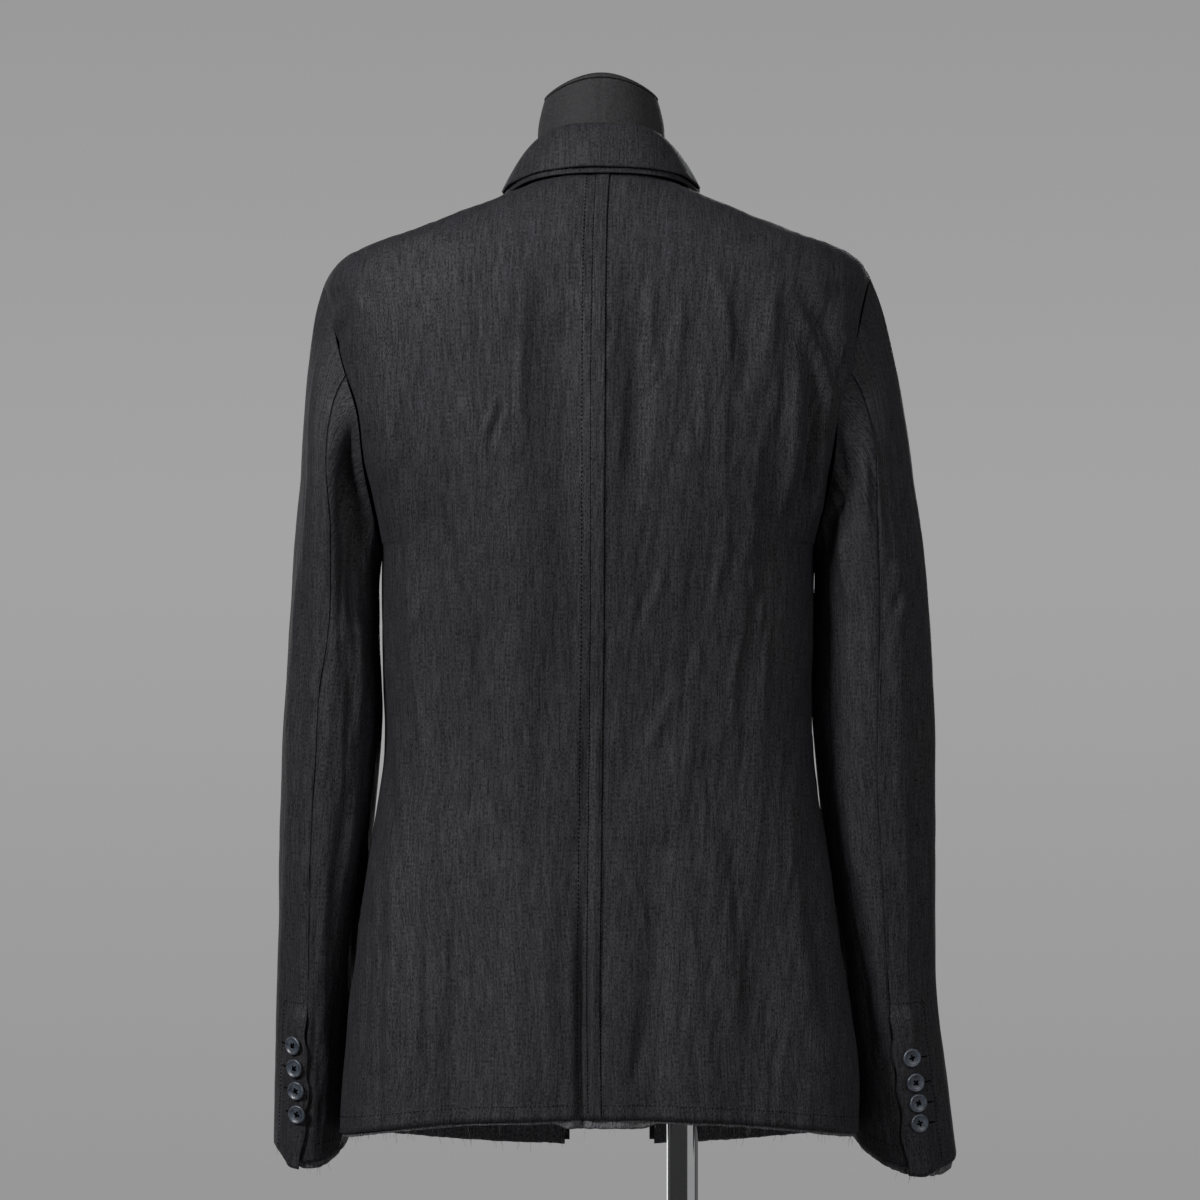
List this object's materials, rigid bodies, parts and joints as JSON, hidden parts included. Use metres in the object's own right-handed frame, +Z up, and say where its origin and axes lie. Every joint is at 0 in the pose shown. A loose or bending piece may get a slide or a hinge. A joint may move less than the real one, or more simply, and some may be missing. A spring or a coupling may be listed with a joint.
{
  "type": "tailored jacket on a limbless dress form",
  "caption": "Dark tailored jacket with notch lapels and buttoned cuffs, hanging open on a limbless dress form with a steel pole and round base.",
  "frame": {"origin": "on the underside of the base, in the jacket's centre plane", "axes": "+Z up, the jacket's front faces -Y, the wearer's left is +X"},
  "size_m": [0.5499, 0.38, 1.494],
  "materials": {
    "cloth": "crinkled crepe-like cloth with a soft lustre",
    "raw_edge": "sheer dark grey cloth with a raw edge",
    "button": "satin, four holes",
    "form_cover": "matt black knit cover",
    "steel": "bright chrome"
  },
  "bodies": {
    "root": {"back_left": "cloth", "back_right": "cloth", "back_seam_strip": "cloth", "front_left": "cloth", "front_right": "cloth", "lapel_left": "cloth", "lapel_right": "cloth", "collar_fall": "cloth", "collar_under": "cloth", "collar_stand": "cloth", "sleeve_left_top": "cloth", "sleeve_left_under": "cloth", "sleeve_right_top": "cloth", "sleeve_right_under": "cloth", "vent_left": "cloth", "vent_right": "cloth", "cuff_edge_left": "raw_edge", "cuff_edge_right": "raw_edge", "hem_edge_back": "raw_edge", "hem_edge_front_left": "raw_edge", "hem_edge_front_right": "raw_edge", "sleeve_button_left_1": "button", "sleeve_button_left_2": "button", "sleeve_button_left_3": "button", "sleeve_button_left_4": "button", "sleeve_button_right_1": "button", "sleeve_button_right_2": "button", "sleeve_button_right_3": "button", "sleeve_button_right_4": "button", "front_button_1": "button", "front_button_2": "button", "form_torso": "form_cover", "neck_cap": "form_cover", "stand_pole": "steel", "stand_base": "steel"}
  },
  "joints": []
}
